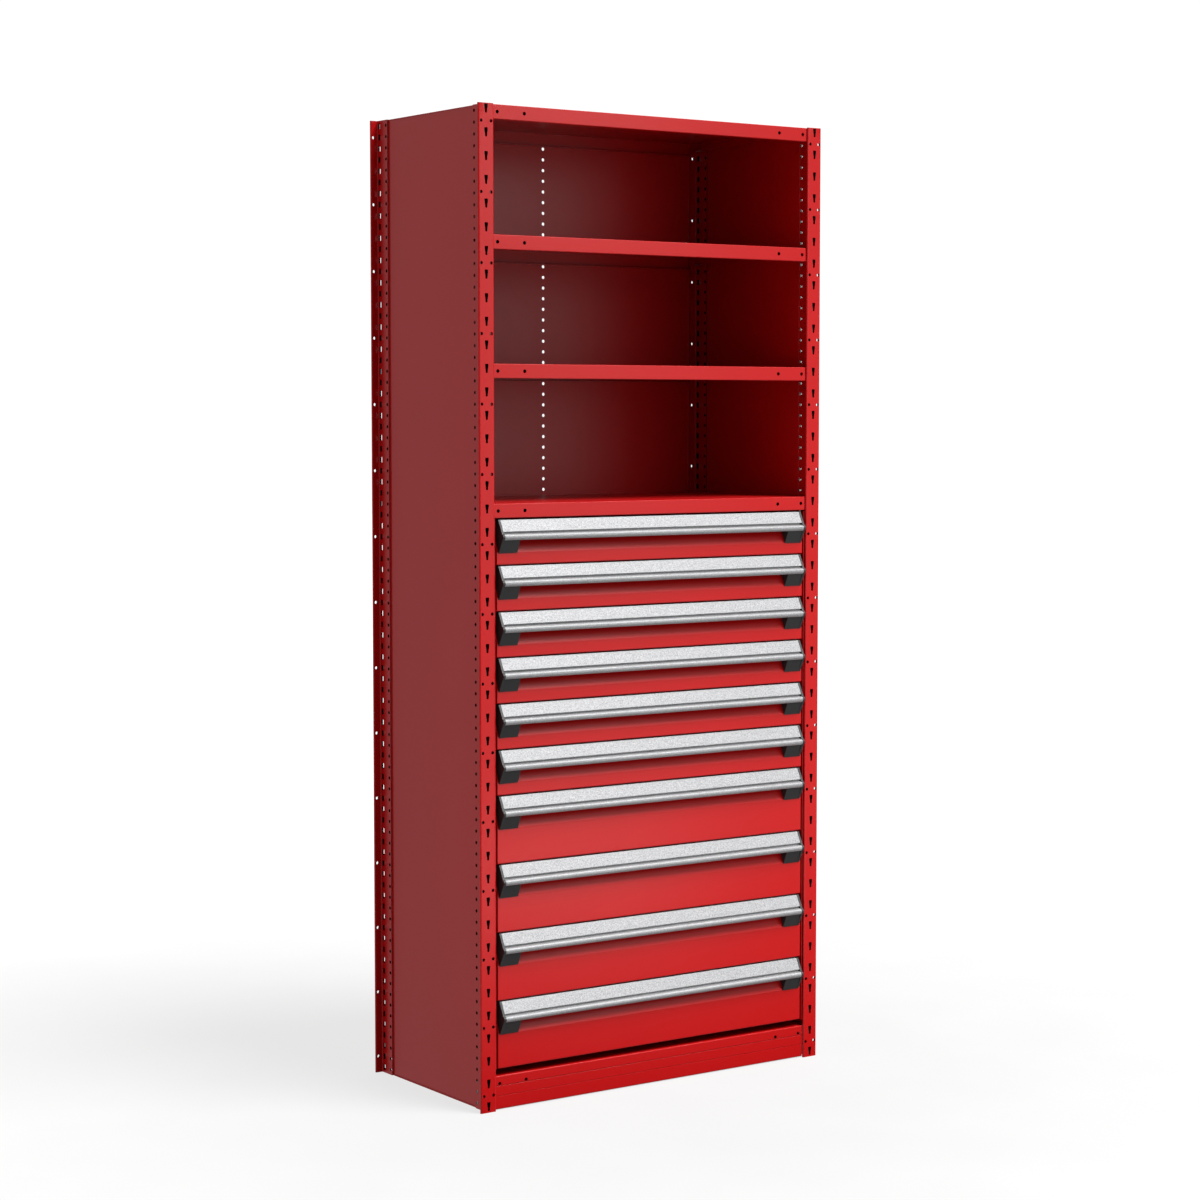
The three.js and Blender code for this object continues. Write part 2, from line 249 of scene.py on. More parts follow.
def make_painted_shade_steel():
    """The insides of the hollow sections and the pieces behind their holes: near-black, painted shade that
    stands for the dark inside them.
    """
    nodes = Nodes("painted_shade_steel", {"Specular IOR Level": 0.1})
    patch = nodes.spread(nodes.noise(60, detail=4), 0, 1)
    nodes.colour(nodes.blend(patch, (0.0015, 0.0012, 0.0012), (0.004, 0.003, 0.003)))
    nodes.roughness(nodes.spread(nodes.noise(200, detail=2), 0.7, 0.85))
    nodes.bump((nodes.noise(300, detail=3), 0.0001))
    return nodes.material


def make_zinc():
    """Zinc-plated steel with faint rolling lines along its length."""
    nodes = Nodes("zinc_steel", {"Metallic": 1})
    lines = nodes.spread(nodes.noise(900, detail=2, stretch=(1, 0.03, 1)), 0, 1)
    patch = nodes.spread(nodes.noise(45, detail=4), 0, 1)
    base = nodes.blend(patch, (0.44, 0.45, 0.47), (0.56, 0.57, 0.58))
    nodes.colour(nodes.blend(lines, base, (0.62, 0.62, 0.62)))
    nodes.roughness(nodes.spread(nodes.noise(60, detail=3), 0.28, 0.42))
    nodes.bump((nodes.noise(900, detail=2, stretch=(1, 0.03, 1)), 0.00002))
    return nodes.material


MATERIALS = {
    "red_paint": make_paint(),
    "satin_aluminium": make_aluminium(),
    "black_plastic": make_plastic(),
    "zinc_steel": make_zinc(),
    "painted_shade_steel": make_painted_shade_steel(),
}


# ---------------------------------------------------------------- surfaces

def up(u, v, w):
    """A path drawn in x, y and drawn out along z."""
    return (u, v, w)


def across(u, v, w):
    """A path drawn in y, z and drawn out along x."""
    return (w, u, v)


def back(u, v, w):
    """A path drawn in x, z and drawn out along y."""
    return (u, w, v)


MIRRORING = (back,)


class Skin:
    """A surface gathered face by face, in millimetres. Corners at the same place are one vertex."""

    def __init__(self):
        self.numbers = {}
        self.points = []
        self.faces = []

    def number(self, point):
        key = tuple(round(c, 3) for c in point)
        if key not in self.numbers:
            self.numbers[key] = len(self.points)
            self.points.append(key)
        return self.numbers[key]

    def face(self, corners, flip=False):
        ids = [self.number(c) for c in corners]
        ids = [a for a, b in zip(ids, ids[1:] + ids[:1]) if a != b]
        if len(set(ids)) > 2:
            self.faces.append(ids[::-1] if flip else ids)

    def plate(self, outline, place, w, loops=(), flip=False):
        """A flat face with holes, at the distance w along the third axis of `place`."""
        for corners in triangles(outline, loops):
            self.face([place(u, v, w) for u, v in corners], flip != (place in MIRRORING))

    def add(self, other):
        for ids in other.faces:
            self.face([other.points[i] for i in ids])

    def mirrored(self, axis, about=0):
        """This surface on the other side of the plane where the axis is `about`."""
        other = Skin()
        for ids in self.faces:
            corners = [list(self.points[i]) for i in ids]
            for corner in corners:
                corner[axis] = 2 * about - corner[axis]
            other.face(corners, flip=True)
        return other


def triangles(outline, loops):
    """Fills an outline, leaving out the loops."""
    points = []
    rings = []
    for loop in [outline, *loops]:
        rings.append(list(range(len(points), len(points) + len(loop))))
        points += [Vector(p) for p in loop]
    corners, _, faces, *_ = delaunay_2d_cdt(points, [], rings, 2, 1e-4)
    return [[tuple(corners[i]) for i in face] for face in faces]


def rounded(points, radius, closed=False, steps=4):
    """The path with its corners rounded, as (point, leg) pairs. The leg is the number of the
    straight part that starts there, or None inside a bend. The radius may be a list."""
    points = [Vector(p) for p in points]
    path = []
    for i, corner in enumerate(points):
        r = radius[i] if isinstance(radius, (list, tuple)) else radius
        if r == 0 or (not closed and i in (0, len(points) - 1)):
            path.append((corner, i))
            continue
        before = (points[i - 1] - corner).normalized()
        after = (points[(i + 1) % len(points)] - corner).normalized()
        half = before.angle(after) / 2
        centre = corner + (before + after).normalized() * (r / math.sin(half))
        start = corner + before * (r / math.tan(half)) - centre
        sweep_angle = math.copysign(math.pi - 2 * half, before.x * after.y - before.y * after.x) * -1
        for step in range(steps + 1):
            turned = Matrix.Rotation(sweep_angle * step / steps, 2) @ start
            path.append((centre + turned, i if step == steps else None))
    return path


def fold(skin, points, radius, place, span, holes=None, closed=False, steps=4):
    """A sheet's outer surface: a path drawn out along the third axis. The sheet's thickness is on
    the path's left. `span` is the two ends, or a function that gives them at a distance u. `holes`
    has a list of loops for a leg, drawn in distance along the leg and along the third axis."""
    corners = [Vector(p) for p in points]
    path = rounded(points, radius, closed, steps)
    ends = span if callable(span) else lambda u: span
    flip = place in MIRRORING
    for i in range(len(path) if closed else len(path) - 1):
        p, leg = path[i]
        q = path[(i + 1) % len(path)][0]
        outline = [(p, ends(p.x)[0]), (q, ends(q.x)[0]), (q, ends(q.x)[1]), (p, ends(p.x)[1])]
        if not holes or leg not in holes:
            skin.face([place(*point, w) for point, w in outline], flip)
            continue
        corner = corners[leg]
        along = (corners[(leg + 1) % len(corners)] - corner).normalized()
        flat = [((point - corner).dot(along), w) for point, w in outline]
        for piece in triangles(flat, holes[leg]):
            skin.face([place(*(corner + along * s), w) for s, w in piece], flip)


def bar(skin, points, radius, place, span, steps=4):
    """A solid bar of a closed section, with flat ends."""
    fold(skin, points, radius, place, span, closed=True, steps=steps)
    outline = [tuple(p) for p, _ in rounded(points, radius, True, steps)]
    skin.plate(outline, place, span[0], flip=True)
    skin.plate(outline, place, span[1])


def pan(skin, place, middle, half, points, radius, steps=4, holes=None):
    """A sheet folded along all four sides of a rectangle. The path is (inset, height) and ends on
    the floor of the pan. `holes` gives the holes of a side from its half length."""
    for side in range(4):
        turn = Matrix.Rotation(side * math.pi / 2, 2)
        along, out = (half[0], half[1]) if side % 2 == 0 else (half[1], half[0])

        def side_place(inset, height, w):
            u, v = turn @ Vector((w, inset - out))
            return place(middle[0] + u, middle[1] + v, height)

        loops = holes(along) if holes else None
        span = lambda inset: (inset - along, along - inset)
        fold(skin, points, radius, side_place, span, loops, steps=steps)
    inset, height = points[-1]
    u, v = half[0] - inset, half[1] - inset
    outline = [(-u, -v), (u, -v), (u, v), (-u, v)]
    skin.plate([(middle[0] + a, middle[1] + b) for a, b in outline], place, height, flip=True)


def circle(u, v, radius, sides=12):
    return [
        (u + radius * math.cos(2 * math.pi * i / sides), v + radius * math.sin(2 * math.pi * i / sides))
        for i in range(sides)
    ]


def smooth_loop(points, radius, steps=3):
    return [tuple(p) for p, _ in rounded(points, radius, True, steps)]


def slot_loop(u, v, half_width, half_height, radius=2):
    corners = [(-half_width, -half_height), (half_width, -half_height),
               (half_width, half_height), (-half_width, half_height)]
    return smooth_loop([(u + a, v + b) for a, b in corners], radius)


def keyhole(u, v):
    """A slot that narrows from its top to its round bottom."""
    k = KEYHOLE
    low, neck = v - k["low"], v - k["neck"]
    shoulder, high = v + k["shoulder"], v + k["high"]
    wide, narrow = k["top"], k["bottom"]
    corners = [(u - narrow, low), (u + narrow, low), (u + narrow, neck), (u + wide, shoulder),
               (u + wide, high), (u - wide, high), (u - wide, shoulder), (u - narrow, neck)]
    return smooth_loop(corners, k["corners"])


def down_from_top(first, pitch):
    """Heights from `first` below the top of the posts down to the floor, one pitch apart."""
    count = int((HEIGHT - first) // pitch) + 1
    return [HEIGHT - first - pitch * i for i in range(count)]


# ---------------------------------------------------------------- making the pieces

SHARP_ANGLE = math.radians(32)
BEVEL_ANGLE = math.radians(40)


def build(name, skin, material, body, nodes=(), thickness=0.0, bevel=0.0, inside=None):
    """Makes a piece from a skin, gives it its thickness, finish and body, and hides its CAD nodes.
    `inside` is the material of the sheet's inner face and cut edges, where that isn't the material; here it
    paints near-black shade inside hollow sections."""
    mesh = bpy.data.meshes.new(name)
    mesh.from_pydata([(x * MM, y * MM + FRONT_Y, z * MM) for x, y, z in skin.points], [], skin.faces)
    mesh.materials.append(MATERIALS[material])
    if inside:
        mesh.materials.append(MATERIALS[inside])
    piece = bpy.data.objects.new(name, mesh)
    bpy.context.scene.collection.objects.link(piece)
    if thickness:
        solid = piece.modifiers.new("thickness", "SOLIDIFY")
        solid.thickness = thickness * MM
        solid.offset = -1
        solid.use_even_offset = True
        solid.use_quality_normals = True
        solid.material_offset = 1 if inside else 0
        solid.material_offset_rim = 1 if inside else 0
    if bevel:
        edge = piece.modifiers.new("edges", "BEVEL")
        edge.width = bevel * MM
        edge.segments = 2
        edge.limit_method = "ANGLE"
        edge.angle_limit = BEVEL_ANGLE
    if thickness or bevel:
        depsgraph = bpy.context.evaluated_depsgraph_get()
        piece.data = bpy.data.meshes.new_from_object(piece.evaluated_get(depsgraph))
        piece.modifiers.clear()
        bpy.data.meshes.remove(mesh)
        piece.data.name = name
    piece.data.shade_smooth()
    piece.data.set_sharp_from_angle(angle=SHARP_ANGLE)
    piece.modifiers.new("flat faces stay flat", "WEIGHTED_NORMAL").keep_sharp = True
    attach(piece, body)
    if nodes:
        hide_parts(*nodes)
    return piece


# ---------------------------------------------------------------- posts

def post_skin(is_back, has_windows=False):
    """A right post, drawn as a front post: one sheet folded to a flat box and a double web behind
    it. Windows beside a thinner web leave a way through the post at every second slot."""
    n = WEB_HALF_AT_WINDOW if has_windows else WEB_HALF
    w, f, half = WEB_HALF, FLANGE_DEPTH, POST_HALF
    points = [(-n, WEB_END), (-n, f), (-half, f), (-half, 0), (half, 0), (half, f), (w, f), (w, WEB_END)]
    radius = [0, WEB_FILLET, FLANGE_BACK_BEND, FLANGE_BEND, FLANGE_BEND, FLANGE_BACK_BEND, WEB_FILLET, 0]
    pair_heights = down_from_top(PAIR_HOLE["first"], PAIR_HOLE["pitch"])
    slot_heights = down_from_top(WEB_SLOT["first"], WEB_SLOT["pitch"])
    offset, small, large = PAIR_HOLE["offset"], PAIR_HOLE["radius"], PAIR_HOLE["far_radius"]
    seen, unseen = (large, small) if is_back else (small, large)

    def web_loops(heights, from_root):
        slot_at, hole_at = WEB_SLOT["y"] - f, WEB_HOLE["y"] - f
        if not from_root:
            slot_at, hole_at = WEB_END - WEB_SLOT["y"], WEB_END - WEB_HOLE["y"]
        size = (WEB_SLOT["half_width"], WEB_SLOT["half_height"])
        loops = [slot_loop(slot_at, z, *size) for z in heights]
        return loops + [circle(hole_at, z, WEB_HOLE["radius"], sides=10) for z in slot_heights]

    def windows(distance):
        if not has_windows:
            return []
        size = (BACK_WINDOW["half_width"], WEB_SLOT["half_height"])
        return [slot_loop(distance, z, *size, BACK_WINDOW["corner"]) for z in slot_heights[::2]]

    face = [keyhole(half, z) for z in down_from_top(KEYHOLE["first"], KEYHOLE["pitch"])]
    for z in pair_heights:
        face += [circle(half - offset, z, seen), circle(half + offset, z, seen)]
    holes = {
        0: web_loops(slot_heights[::2] if has_windows else slot_heights, False),
        1: [circle(offset - n, z, small) for z in pair_heights] + windows(BACK_WINDOW["near"] - n),
        3: face + windows(half - BACK_WINDOW["far"]),
        5: [circle(half - offset, z, unseen) for z in pair_heights],
        6: web_loops(slot_heights, True),
    }
    skin = Skin()

    def place(u, v, z):
        return (u + POST_X, v, z)

    fold(skin, points, radius, place, (0, HEIGHT), holes)
    return skin


def make_posts():
    posts = {
        "post_front_right": post_skin(False),
        "post_front_left": post_skin(False).mirrored(0),
        "post_back_right": post_skin(True).mirrored(1, DEPTH / 2),
        "post_back_left": post_skin(True, True).mirrored(1, DEPTH / 2).mirrored(0),
    }
    for node, skin in posts.items():
        # The posts' inner faces and the cut edges of their holes and ends get painted shade: near-black, for
        # the dark inside them.
        build(f"upright_{node}", skin, "red_paint", CARCASS, [node], POST_SHEET, inside="painted_shade_steel")


def make_shade_strip():
    """A near-black strip that fills the double web of the back right post, behind its slots: painted shade
    seen through them.
    """
    inset = STRIP["inset"]
    near, far = DEPTH - WEB_END + inset, DEPTH - FLANGE_DEPTH - inset
    half = WEB_HALF - POST_SHEET
    section = [(POST_X - half, near), (POST_X + half, near), (POST_X + half, far), (POST_X - half, far)]
    strip = Skin()
    bar(strip, section, STRIP["edge"], up, (inset, HEIGHT - inset), steps=2)
    build("post_back_right_shade_strip", strip, "painted_shade_steel", CARCASS)


# ---------------------------------------------------------------- panels and shelves

def make_side_panels():
    low, high = extent("side_panel_right")
    middle = ((low.y + high.y) / 2, (low.z + high.z) / 2)
    half = ((high.y - low.y) / 2, (high.z - low.z) / 2)
    right = Skin()
    path = [(0, high.x), (0, low.x), (SIDE_PANEL["turn"], low.x)]
    pan(right, across_outward, middle, half, path, SIDE_PANEL["bend"])
    for side, skin in (("right", right), ("left", right.mirrored(0))):
        build(f"side_sheet_{side}", skin, "red_paint", CARCASS, [f"side_panel_{side}"], SHEET)


def across_outward(u, v, height):
    """Draws in y, z with the height of a pan along x."""
    return (height, u, v)


def make_back_panel():
    low, high = extent("back_panel")
    points = [(high.x, low.y), (high.x, high.y), (low.x, high.y), (low.x, low.y)]
    lowest = low.z + BACK_HOLE["margin"]
    heights = [z for z in down_from_top(BACK_HOLE["first"], BACK_HOLE["pitch"]) if z > lowest]
    loops = [circle(high.x, z, BACK_HOLE["radius"], sides=14) for z in heights]
    skin = Skin()
    fold(skin, points, BACK_PANEL_BEND, up, (low.z, high.z), {1: loops})
    build("back_sheet", skin, "red_paint", CARCASS, ["back_panel"], SHEET)


def shelf_skin(node, hole_drop):
    """A shelf with all its edges folded down and its front and back flanges returned inwards. Its
    corners are notched to pass the posts and the edges of the back panel."""
    low, high = extent(node)
    bend, half, back_half = SHELF["bend"], SHELF["half"], SHELF["back_half"]
    side = high.x
    inner = side - bend
    y0, y1 = low.y, high.y
    notch, back_notch = y0 + SHELF["notch"], y1 - SHELF["back_notch"]
    post_face = DEPTH - FLANGE_DEPTH - CLEAR
    panel_edge = extent("back_panel")[1].x + CLEAR
    right_edge = [(half, y0 + bend), (half, notch), (inner, notch), (inner, post_face),
                  (panel_edge, post_face), (panel_edge, back_notch), (back_half, back_notch),
                  (back_half, y1 - bend)]
    left_edge = [(-x, y) for x, y in reversed(right_edge)]
    skin = Skin()
    skin.plate(right_edge + left_edge, up, high.z)
    hole_places = [s * x for x in (SHELF_HOLE["outer"], SHELF_HOLE["inner"]) for s in (-1, 1)]
    loops = {1: [circle(hole_drop, x, SHELF_HOLE["radius"], sides=14) for x in hole_places]}
    flange = [(y0 + bend, high.z), (y0, high.z), (y0, low.z), (y0 + SHELF["lip"], low.z)]
    fold(skin, flange, [0, bend, bend, 0], across, (-half, half), loops)
    rear = Skin()
    fold(rear, flange, [0, bend, bend, 0], across, (-back_half, back_half))
    skin.add(rear.mirrored(1, (y0 + y1) / 2))
    edge = [(side, high.z - SHELF["side_drop"]), (side, high.z), (inner, high.z)]
    right = Skin()
    fold(right, edge, [0, bend, 0], back, (notch, post_face))
    skin.add(right)
    skin.add(right.mirrored(0))
    return skin


def shade_channel_skin(node):
    """The channel welded behind a shelf's front flange; near-black, it is painted shade seen through the
    flange's holes.
    """
    low, high = extent(node)
    inset, bend = SHEET + SHADE_CHANNEL["clear"], SHADE_CHANNEL["bend"]
    near, far = low.y + inset, low.y + SHELF["lip"] - SHADE_CHANNEL["short"]
    top, bottom = high.z - inset, low.z + inset
    half = SHELF["half"] - SHADE_CHANNEL["end"]
    path = [(near, bottom), (far, bottom), (far, top), (near, top)]
    skin = Skin()
    fold(skin, path, [0, bend, bend, 0], across, (-half, half))
    return skin


def make_shelves():
    for number in SHELVES:
        node = f"shelf_{number}"
        drop = SHELF_HOLE["bottom_drop"] if number == "bottom" else SHELF_HOLE["drop"]
        build(f"shelf_sheet_{number}", shelf_skin(node, drop), "red_paint", CARCASS, [node], SHELF["sheet"])
        # Behind each front flange, a near-black channel: painted shade for the flange's holes.
        build(f"shelf_shade_channel_{number}", shade_channel_skin(node), "painted_shade_steel", CARCASS, thickness=THIN_SHEET)


def make_shelf_clips():
    """Brackets hooked into the webs of the posts; each holds up one corner of a shelf."""
    t, near, edge = CLIP["thickness"], CLIP["near"], CLIP["edge"]
    outer = POST_X - WEB_HALF - CLIP["gap"]
    for number in SHELVES:
        top = extent(f"shelf_{number}")[1].z - SHELF["side_drop"] - CLEAR
        section = [(outer - CLIP["ledge"], top - t), (outer, top - t), (outer, top + CLIP["leg"]),
                   (outer - t, top + CLIP["leg"]), (outer - t, top), (outer - CLIP["ledge"], top)]
        clips = Skin()
        radius = [edge, CLIP["bend"], edge, edge, edge, edge]
        bar(clips, section, radius, back, (near, near + CLIP["length"]), steps=2)
        clips.add(clips.mirrored(1, DEPTH / 2))
        clips.add(clips.mirrored(0))
        build(f"shelf_clips_{number}", clips, "zinc_steel", CARCASS)


def make_kick_plate():
    """A sheet with a groove pressed along it and all its edges turned back."""
    low, high = extent("kick_plate")
    crease, half, depth = KICK["crease"], KICK["crease_half"], KICK["crease_depth"]
    points = [(high.y, high.z), (low.y, high.z), (low.y, crease + half), (low.y + depth, crease),
              (low.y, crease - half), (low.y, low.z), (high.y, low.z)]
    radius = [0, KICK["top_bend"], *[KICK["crease_bend"]] * 3, KICK["bend"], 0]
    skin = Skin()
    fold(skin, points, radius, across, (low.x, high.x))
    build("kick_sheet", skin, "red_paint", CARCASS, ["kick_plate"], SHEET)
    ends = Skin()
    inset = SHEET + KICK["end_clear"]
    section = [(low.y + inset, low.z + inset), (high.y, low.z + inset), (high.y, high.z - inset),
               (low.y + inset, high.z - inset)]
    bar(ends, section, KICK["end_bend"], across, (high.x - SHEET, high.x), steps=2)
    ends.add(ends.mirrored(0))
    build("kick_sheet_ends", ends, "red_paint", CARCASS)


# ---------------------------------------------------------------- housing and slides

def channel(skin, part, middle_z):
    """A channel open towards the drawer, on the right of the unit."""
    top, bottom = middle_z + part["half"], middle_z - part["half"]
    points = [(part["tip"], bottom), (part["back"], bottom), (part["back"], top), (part["tip"], top)]
    fold(skin, points, [0, SLIDE_BEND, SLIDE_BEND, 0], back, (SLIDE_START, part["end"]))


def rail_heights():
    return [sum(c.z for c in extent(f"{name}_slide_left")) / 2 for name in DRAWERS]


def make_housing():
    """The two walls that carry the drawers, their hooks and the fixed members of the slides."""
    low, high = extent("housing_right")
    top, bottom = high.z, low.z
    y0, y1 = FRONT_RECESS, DEPTH - HOUSING["back_gap"]
    for side in ("right", "left"):
        wall = Skin()
        outline = [(WALL_INNER, y0), (WALL_INNER + SHEET, y0), (WALL_INNER + SHEET, y1), (WALL_INNER, y1)]
        bar(wall, outline, HOUSING["edge"], up, (bottom, top), steps=2)
        reach = POST_X - WEB_HALF - CLEAR
        for z in (bottom + HOOK["margin"], (bottom + top) / 2, top - HOOK["margin"]):
            for y in (HOOK["near"], DEPTH - HOOK["near"] - HOOK["width"]):
                hook = [(WALL_INNER + SHEET, y), (reach, y), (reach, y + HOOK["width"]),
                        (WALL_INNER + SHEET, y + HOOK["width"])]
                bar(wall, hook, HOOK["bend"], up, (z, z + HOOK["height"]), steps=2)
        skin = wall if side == "right" else wall.mirrored(0)
        build(f"housing_wall_{side}", skin, "red_paint", CARCASS, [f"housing_{side}"])
        members = Skin()
        for z in rail_heights():
            channel(members, FIXED, z)
        skin = members if side == "right" else members.mirrored(0)
        build(f"fixed_slides_{side}", skin, "zinc_steel", CARCASS, thickness=THIN_SHEET)


def make_slides():
    for name, z in zip(DRAWERS, rail_heights()):
        right = Skin()
        channel(right, MIDDLE, z)
        for side, skin in (("right", right), ("left", right.mirrored(0))):
            build(f"{name}_slide_member_{side}", skin, "zinc_steel", f"{name}_slides",
                  [f"{name}_slide_{side}"], THIN_SHEET)


# ---------------------------------------------------------------- drawers

def drawer_front(half, top, bottom):
    """The front sheet: it rises from its bottom return, leans back behind the handle to make the
    finger recess, and rises again as the wall behind the handle."""
    pan_y = FRONT["pan"]
    points = [
        (pan_y, top - FRONT["top_drop"]), (pan_y, top - FRONT["wall_drop"]),
        (FRONT_RECESS, top - FRONT["bend_drop"]), (FRONT_RECESS, bottom), (pan_y, bottom),
    ]
    radius = [0, FRONT["wall_bend"], FRONT["bend"], FRONT["edge_bend"], 0]
    skin = Skin()
    fold(skin, points, radius, across, (-half, half), steps=6)
    return skin


def front_ends(half, top, bottom):
    """The two plates that close the ends of the front sheet."""
    inset = FRONT_END["inset"]
    near, far = FRONT_RECESS + inset, FRONT["pan"] + SHEET / 2
    section = [(near, bottom + inset), (far, bottom + inset), (far, top - FRONT["wall_drop"]),
               (near, top - FRONT["bend_drop"] - FRONT_END["drop"])]
    skin = Skin()
    bar(skin, section, FRONT_END["edge"], across, (half - SHEET, half), steps=1)
    skin.add(skin.mirrored(0))
    return skin


def tray_skin(top, bottom):
    """The pan of a drawer, with a hem round its rim and slots for partitions in its walls."""
    floor = bottom + TRAY["floor_rise"]
    rim = top - TRAY["wall_drop"]
    near = FRONT["pan"] + SHEET
    middle = (0, (near + TRAY["back"]) / 2)
    half = (TRAY["half"], (TRAY["back"] - near) / 2)
    slot_half = (rim - floor - TRAY_SLOT["top"] - TRAY_SLOT["bottom"]) / 2
    slot_middle = TRAY_SLOT["top"] + slot_half

    def partition_slots(along):
        count = int((along - TRAY_SLOT["end"]) // TRAY_SLOT["pitch"])
        places = [i * TRAY_SLOT["pitch"] for i in range(-count, count + 1)]
        size = (slot_half, TRAY_SLOT["half_width"], TRAY_SLOT["corner"])
        return {2: [slot_loop(slot_middle, w, *size) for w in places]}

    hem = TRAY["hem"]
    path = [(hem, rim - TRAY["hem_fall"]), (hem, rim), (0, rim), (0, floor), (TRAY["bend"], floor)]
    radius = [0, TRAY["hem_bend"], TRAY["hem_bend"], TRAY["bend"], 0]
    skin = Skin()
    pan(skin, up, middle, half, path, radius, holes=partition_slots)
    return skin


def make_drawer(name):
    top = extent(f"{name}_handle")[1].z - CAP["proud"]
    bottom = extent(f"{name}_box")[0].z
    half = extent(f"{name}_box")[1].x
    build(f"{name}_front", drawer_front(half, top, bottom), "red_paint", name, [f"{name}_box"], SHEET)
    build(f"{name}_front_ends", front_ends(half, top, bottom), "red_paint", name)
    build(f"{name}_tray", tray_skin(top, bottom), "red_paint", name, thickness=THIN_SHEET)
    rails = Skin()
    channel(rails, RAIL, sum(c.z for c in extent(f"{name}_slide_left")) / 2)
    rails.add(rails.mirrored(0))
    build(f"{name}_rails", rails, "zinc_steel", name, thickness=THIN_SHEET)


def arc_points(centre, radius, start, end, steps):
    """Points on a circle, with its angles in degrees."""
    angles = [math.radians(start + (end - start) * i / steps) for i in range(steps + 1)]
    return [(centre[0] + radius * math.cos(a), centre[1] + radius * math.sin(a)) for a in angles]


def make_handle(name):
    """An extruded handle with a leaning label face, a groove and a round nose."""
    top = extent(f"{name}_handle")[1].z - CAP["proud"]

    def at(y, down):
        return (y, top - down)

    nose = arc_points(at(NOSE["y"], NOSE["drop"]), NOSE["radius"], 90, 270, 12)
    outside = [at(LABEL["back"], 0), at(LABEL["top_y"], 0), at(LABEL["bottom_y"], LABEL["drop"]),
               at(GROOVE["y"], GROOVE["top"]), at(GROOVE["y"], GROOVE["bottom"])]
    inside = [at(NOSE["wall_y"], NOSE["drop"] + NOSE["radius"]), at(NOSE["wall_y"], NOSE["wall_drop"]),
              at(LABEL["top_y"] + 2, LABEL["thickness"]), at(LABEL["back"], LABEL["thickness"])]
    path = outside + nose + inside
    bends = HANDLE_BENDS
    radius = [bends["back"], bends["top"], bends["groove"], bends["groove"], bends["groove_end"]]
    radius += [0] * len(nose)
    radius += [bends["inner_edge"], bends["inner"], bends["inner"], bends["inner_edge"]]
    skin = Skin()
    bar(skin, path, radius, across, (-LABEL["half"], LABEL["half"]), steps=3)
    build(f"{name}_grip", skin, "satin_aluminium", name, [f"{name}_handle"])


def make_caps(name):
    """The moulded ends of a handle, each with a foot that fills the end of the finger recess."""
    top = extent(f"{name}_handle")[1].z - CAP["proud"]
    lean = (FRONT["pan"] - FRONT_RECESS) / (FRONT["bend_drop"] - FRONT["wall_drop"])

    def at(y, down):
        return (y, top - down)

    def recess_y(down):
        return FRONT["pan"] - CAP["clear"] - lean * (down - FRONT["wall_drop"])

    proud = CAP["proud"]
    foot_y = recess_y(FRONT["bend_drop"])
    back_y = LABEL["back"] + proud
    back_drop = FRONT["wall_drop"] + (FRONT["pan"] - CAP["clear"] - back_y) / lean
    plate = [at(back_y, -proud), at(LABEL["top_y"] - proud, -proud),
             at(LABEL["bottom_y"] - proud, LABEL["drop"])]
    plate += arc_points(at(NOSE["y"], NOSE["drop"]), NOSE["radius"] + CAP["nose_proud"], 108, 243, 9)
    plate += [at(foot_y, CAP["toe"]), at(foot_y, FRONT["bend_drop"]), at(back_y, back_drop)]
    skin = Skin()
    bar(skin, plate, 0, across, (LABEL["half"] + CAP["gap"], CAP["outer"]))
    inset = CAP_FOOT["inset"]
    foot_drop = NOSE["drop"] + NOSE["radius"] + CAP_FOOT["clear"]
    foot = [at(NOSE["y"] - CAP_FOOT["nose_reach"], foot_drop), at(foot_y - inset, CAP["toe"] - inset),
            at(foot_y - inset, FRONT["bend_drop"]), at(recess_y(foot_drop) - inset, foot_drop)]
    bar(skin, foot, 0, across, (CAP["inner"], LABEL["half"]))
    skin.add(skin.mirrored(0))
    build(f"{name}_handle_caps", skin, "black_plastic", name, bevel=CAP["bevel"])


# ---------------------------------------------------------------- stage, lights and camera

# In metres, degrees and the units of Blender's lights. x is to the right and z is up; a panel is
# upright, and the bounce is a light on the floor that reaches from near to far ahead of the unit.
FLOOR = {"reach": 30, "glow": (0.74, 1.0), "glow_distance": (0.8, 5)}
ROOM = {"dim_side": (0.25, -0.95, 0.15), "dim_from": 0.1, "dim_to": 0.75, "around": 0.6,
        "in_front": 0.04, "backdrop": 1.05}
SUN = {"right": 30, "height": 57, "width": 30, "strength": 5.6}
PANELS = [
    {"x": (0.3, 1.25), "z": (0.02, 0.35), "radiance": 2.8},
    {"x": (0.3, 1.25), "z": (0.35, 1.0), "radiance": 0.9},
    {"x": (0.3, 1.25), "z": (1.0, 2.1), "radiance": 1.5},
    {"x": (0.3, 1.25), "z": (2.1, 2.9), "radiance": 2.6},
    {"x": (1.25, 2.2), "z": (0.1, 2.9), "radiance": 0.75},
]
BOUNCE = {"x": (-1.5, 1.5), "ahead": (0.35, 2.2), "height": 0.002, "radiance": 1.0}
PANEL_DISTANCE = 1.6
CAMERA = {"x": -3.6284, "ahead": 4.9614, "z": 1.5472, "down": 3.997, "right": 34.976, "lens": 81.13}


